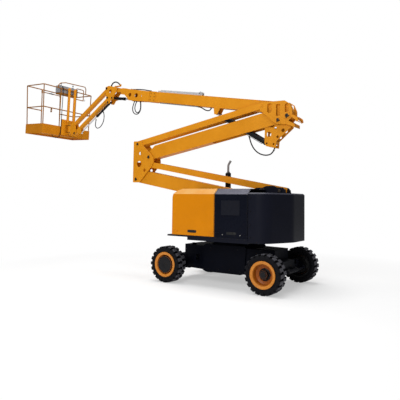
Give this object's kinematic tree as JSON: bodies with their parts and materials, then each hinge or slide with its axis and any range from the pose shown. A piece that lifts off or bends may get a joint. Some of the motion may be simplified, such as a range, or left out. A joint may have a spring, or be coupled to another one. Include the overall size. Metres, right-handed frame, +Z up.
{
  "type": "articulating boom lift",
  "caption": "Self-propelled articulating boom lift: wheeled chassis, slewing turntable, parallel riser, telescopic boom, jib and work platform.",
  "frame": {"origin": "on the floor under the slew axis, midway between the axles", "axes": "+X towards the steered axle and counterweight, +Y to the far side, +Z up; the boom lies towards -X"},
  "size_m": [8.5401, 2.234, 5.5736],
  "materials": {
    "barrel_black": "satin",
    "boom_yellow": "gloss",
    "chassis_black": "satin",
    "chrome": "polished",
    "cover_black": "satin",
    "grey_steel": "matt",
    "hood_black": "satin",
    "hood_yellow": "gloss",
    "hose": "matt",
    "iron": "matt",
    "panel_grey": "matt",
    "rim_orange": "gloss",
    "tyre": "matt"
  },
  "bodies": {
    "chassis": {"chassis_frame": "chassis_black", "drive_axle": "chassis_black", "steer_axle": "chassis_black"},
    "drive_wheel_near": {"tyre_drive_near": "tyre", "rim_drive_near": "rim_orange"},
    "drive_wheel_far": {"tyre_drive_far": "tyre", "rim_drive_far": "rim_orange"},
    "steer_near": {"steer_knuckle_near": "chassis_black"},
    "steer_far": {"steer_knuckle_far": "chassis_black"},
    "steer_wheel_near": {"tyre_steer_near": "tyre", "rim_steer_near": "rim_orange"},
    "steer_wheel_far": {"tyre_steer_far": "tyre", "rim_steer_far": "rim_orange"},
    "tie_rod": {"tie_rod": "chassis_black"},
    "turntable": {"turntable_deck": "cover_black", "pivot_tower": "cover_black", "counterweight": "cover_black", "power_blocks": "iron", "exhaust": "grey_steel", "exhaust_panel": "boom_yellow"},
    "hood_front_near": {"hood_front_near": "hood_yellow"},
    "hood_rear_near": {"hood_rear_near": "hood_black"},
    "hood_front_far": {"hood_front_far": "hood_yellow"},
    "hood_rear_far": {"hood_rear_far": "hood_black"},
    "lower_arm": {"lower_arm": "boom_yellow"},
    "lower_link": {"lower_link": "boom_yellow"},
    "mid_knuckle": {"mid_knuckle": "boom_yellow"},
    "upper_arm": {"upper_arm": "boom_yellow"},
    "upper_link": {"upper_link": "boom_yellow"},
    "top_knuckle": {"top_knuckle": "boom_yellow"},
    "riser_cylinder_barrel": {"riser_cylinder_barrel": "barrel_black"},
    "riser_cylinder_rod": {"riser_cylinder_rod": "chrome"},
    "boom": {"boom_outer": "boom_yellow", "cable_carrier": "panel_grey", "boom_pipe": "grey_steel", "boom_hose": "hose"},
    "lift_cylinder_barrel": {"lift_cylinder_barrel": "barrel_black", "lift_hose": "hose"},
    "lift_cylinder_rod": {"lift_cylinder_rod": "chrome"},
    "fly": {"boom_fly": "boom_yellow", "boom_head": "boom_yellow", "head_hose_a": "hose", "head_hose_b": "hose", "head_cable": "hose"},
    "jib_knuckle": {"jib_knuckle": "boom_yellow", "knuckle_hose": "hose"},
    "level_cylinder_barrel": {"level_cylinder_barrel": "barrel_black"},
    "level_cylinder_rod": {"level_cylinder_rod": "chrome"},
    "jib_lower": {"jib_lower_tube": "boom_yellow"},
    "jib_upper": {"jib_upper_tube": "boom_yellow"},
    "jib_cylinder_barrel": {"jib_cylinder_barrel": "barrel_black", "jib_hose": "hose"},
    "jib_cylinder_rod": {"jib_cylinder_rod": "chrome"},
    "bracket": {"platform_bracket": "boom_yellow"},
    "platform": {"platform_holder": "boom_yellow", "platform_floor": "boom_yellow", "platform_rails": "boom_yellow", "control_box": "panel_grey", "platform_cable": "hose"},
    "gate": {"platform_gate": "boom_yellow"}
  },
  "joints": [
    {"name": "drive_wheel_near_spin", "type": "hinge", "parent": "chassis", "child": "drive_wheel_near", "pos_m": [-1.248, -0.967, 0.42], "axis": [0, 1, 0], "continuous": true},
    {"name": "steer_near", "type": "hinge", "parent": "chassis", "child": "steer_near", "pos_m": [1.248, -0.735, 0.42], "axis": [0, 0, 1], "range_deg": [-35, 35]},
    {"name": "steer_wheel_near_spin", "type": "hinge", "parent": "steer_near", "child": "steer_wheel_near", "pos_m": [1.248, -0.967, 0.42], "axis": [0, 1, 0], "continuous": true},
    {"name": "drive_wheel_far_spin", "type": "hinge", "parent": "chassis", "child": "drive_wheel_far", "pos_m": [-1.248, 0.967, 0.42], "axis": [0, 1, 0], "continuous": true},
    {"name": "steer_far", "type": "hinge", "parent": "chassis", "child": "steer_far", "pos_m": [1.248, 0.735, 0.42], "axis": [0, 0, 1], "range_deg": [-36, 36]},
    {"name": "steer_wheel_far_spin", "type": "hinge", "parent": "steer_far", "child": "steer_wheel_far", "pos_m": [1.248, 0.967, 0.42], "axis": [0, 1, 0], "continuous": true},
    {"name": "tie_rod_slide", "type": "slide", "parent": "chassis", "child": "tie_rod", "axis": [0, 1, 0], "range_m": [-0.125, 0.125]},
    {"name": "slew", "type": "hinge", "parent": "chassis", "child": "turntable", "pos_m": [0, 0, 1], "axis": [0, 0, 1], "continuous": true},
    {"name": "hood_front_near_lift", "type": "hinge", "parent": "turntable", "child": "hood_front_near", "pos_m": [-0.5, -0.262, 2.184], "axis": [-1, 0, 0], "range_deg": [0, 70]},
    {"name": "hood_rear_near_lift", "type": "hinge", "parent": "turntable", "child": "hood_rear_near", "pos_m": [0.5, -0.262, 2.184], "axis": [-1, 0, 0], "range_deg": [0, 70]},
    {"name": "hood_front_far_lift", "type": "hinge", "parent": "turntable", "child": "hood_front_far", "pos_m": [-0.5, 0.552, 2.184], "axis": [1, 0, 0], "range_deg": [0, 70]},
    {"name": "hood_rear_far_lift", "type": "hinge", "parent": "turntable", "child": "hood_rear_far", "pos_m": [0.5, 0.262, 2.184], "axis": [1, 0, 0], "range_deg": [0, 70]},
    {"name": "riser_lift", "type": "hinge", "parent": "turntable", "child": "lower_arm", "pos_m": [0.715, 0, 1.79], "axis": [0, 1, 0], "range_deg": [-10.4, 50]},
    {"name": "lower_link_turn", "type": "hinge", "parent": "turntable", "child": "lower_link", "pos_m": [1.205, 0, 2.165], "axis": [0, 1, 0], "range_deg": [-11.4, 51]},
    {"name": "mid_knuckle_turn", "type": "hinge", "parent": "lower_arm", "child": "mid_knuckle", "pos_m": [-3.02257, 0, 2.47597], "axis": [0, 1, 0], "range_deg": [-51, 11.4]},
    {"name": "upper_arm_turn", "type": "hinge", "parent": "mid_knuckle", "child": "upper_arm", "pos_m": [-2.58257, 0, 3.06597], "axis": [0, 1, 0], "range_deg": [-51, 11.4]},
    {"name": "upper_link_turn", "type": "hinge", "parent": "mid_knuckle", "child": "upper_link", "pos_m": [-2.98757, 0, 3.43597], "axis": [0, 1, 0], "range_deg": [-51, 11.4]},
    {"name": "top_knuckle_turn", "type": "hinge", "parent": "upper_arm", "child": "top_knuckle", "pos_m": [1.155, 0, 3.75195], "axis": [0, 1, 0], "range_deg": [-11.4, 51]},
    {"name": "riser_cylinder_barrel_turn", "type": "hinge", "parent": "turntable", "child": "riser_cylinder_barrel", "pos_m": [0.1, 0, 1.26], "axis": [0, 1, 0], "range_deg": [-12.1, 50.57]},
    {"name": "riser_cylinder_rod_slide", "type": "slide", "parent": "riser_cylinder_barrel", "child": "riser_cylinder_rod", "axis": [-0.826, 0, 0.5636], "range_m": [-0.1487, 0.6767]},
    {"name": "boom_lift", "type": "hinge", "parent": "top_knuckle", "child": "boom", "pos_m": [1.37, 0, 3.83195], "axis": [0, 1, 0], "range_deg": [-6, 62]},
    {"name": "lift_cylinder_barrel_turn", "type": "hinge", "parent": "top_knuckle", "child": "lift_cylinder_barrel", "pos_m": [0.85, 0, 3.24095], "axis": [0, 1, 0], "range_deg": [-7.46, 58.45]},
    {"name": "lift_cylinder_rod_slide", "type": "slide", "parent": "lift_cylinder_barrel", "child": "lift_cylinder_rod", "axis": [-0.8544, 0, 0.5196], "range_m": [-0.0871, 0.8067]},
    {"name": "boom_telescope", "type": "slide", "parent": "boom", "child": "fly", "axis": [-0.9839, 0, 0.1788], "range_m": [0, 3]},
    {"name": "jib_knuckle_turn", "type": "hinge", "parent": "fly", "child": "jib_knuckle", "pos_m": [-3.92637, 0, 5.07904], "axis": [0, 1, 0], "range_deg": [-63, 7]},
    {"name": "level_cylinder_barrel_turn", "type": "hinge", "parent": "jib_knuckle", "child": "level_cylinder_barrel", "pos_m": [-4.04537, 0, 4.85004], "axis": [0, 1, 0], "range_deg": [-8.35, 67.62]},
    {"name": "level_cylinder_rod_slide", "type": "slide", "parent": "level_cylinder_barrel", "child": "level_cylinder_rod", "axis": [0.9865, 0, -0.1638], "range_m": [-0.2705, 0.0352]},
    {"name": "jib_lift", "type": "hinge", "parent": "jib_knuckle", "child": "jib_lower", "pos_m": [-4.23437, 0, 4.87104], "axis": [0, 1, 0], "range_deg": [-28, 84]},
    {"name": "jib_upper_turn", "type": "hinge", "parent": "jib_knuckle", "child": "jib_upper", "pos_m": [-4.27437, 0, 5.14604], "axis": [0, 1, 0], "range_deg": [-29, 85]},
    {"name": "jib_cylinder_barrel_turn", "type": "hinge", "parent": "jib_knuckle", "child": "jib_cylinder_barrel", "pos_m": [-4.21837, 0, 4.73205], "axis": [0, 1, 0], "range_deg": [-29.96, 85.89]},
    {"name": "jib_cylinder_rod_slide", "type": "slide", "parent": "jib_cylinder_barrel", "child": "jib_cylinder_rod", "axis": [-0.8279, 0, -0.5609], "range_m": [-0.0656, 0.1768]},
    {"name": "platform_level_turn", "type": "hinge", "parent": "jib_lower", "child": "bracket", "pos_m": [-5.64037, 0, 3.93336], "axis": [0, 1, 0], "range_deg": [-85, 29]},
    {"name": "platform_rotate", "type": "hinge", "parent": "bracket", "child": "platform", "pos_m": [-5.903, 0, 3.85], "axis": [0.0419, 0, 0.9991], "range_deg": [-80, 80]},
    {"name": "gate_slide", "type": "slide", "parent": "platform", "child": "gate", "axis": [0.0031, 0, 1], "range_m": [-0.52, 0]}
  ],
  "couplings": [
    {"joint": "steer_far", "follows": "steer_near", "ratio": 1},
    {"joint": "tie_rod_slide", "follows": "steer_near", "m_per_rad": 0.185},
    {"joint": "lower_link_turn", "follows": "riser_lift", "ratio": 1},
    {"joint": "mid_knuckle_turn", "follows": "riser_lift", "ratio": -1},
    {"joint": "upper_arm_turn", "follows": "riser_lift", "ratio": -1},
    {"joint": "upper_link_turn", "follows": "riser_lift", "ratio": -1},
    {"joint": "top_knuckle_turn", "follows": "riser_lift", "ratio": 1},
    {"joint": "riser_cylinder_barrel_turn", "follows": "riser_lift", "ratio": 0.97139},
    {"joint": "riser_cylinder_rod_slide", "follows": "riser_lift", "m_per_rad": 0.76403},
    {"joint": "lift_cylinder_barrel_turn", "follows": "boom_lift", "ratio": 0.91053},
    {"joint": "lift_cylinder_rod_slide", "follows": "boom_lift", "m_per_rad": 0.73628},
    {"joint": "jib_knuckle_turn", "follows": "boom_lift", "ratio": -1},
    {"joint": "level_cylinder_barrel_turn", "follows": "boom_lift", "ratio": 1.0584},
    {"joint": "level_cylinder_rod_slide", "follows": "boom_lift", "m_per_rad": -0.24072},
    {"joint": "jib_upper_turn", "follows": "jib_lift", "ratio": 1},
    {"joint": "jib_cylinder_barrel_turn", "follows": "jib_lift", "ratio": 0.99872},
    {"joint": "jib_cylinder_rod_slide", "follows": "jib_lift", "m_per_rad": 0.1138},
    {"joint": "platform_level_turn", "follows": "jib_lift", "ratio": -1}
  ]
}
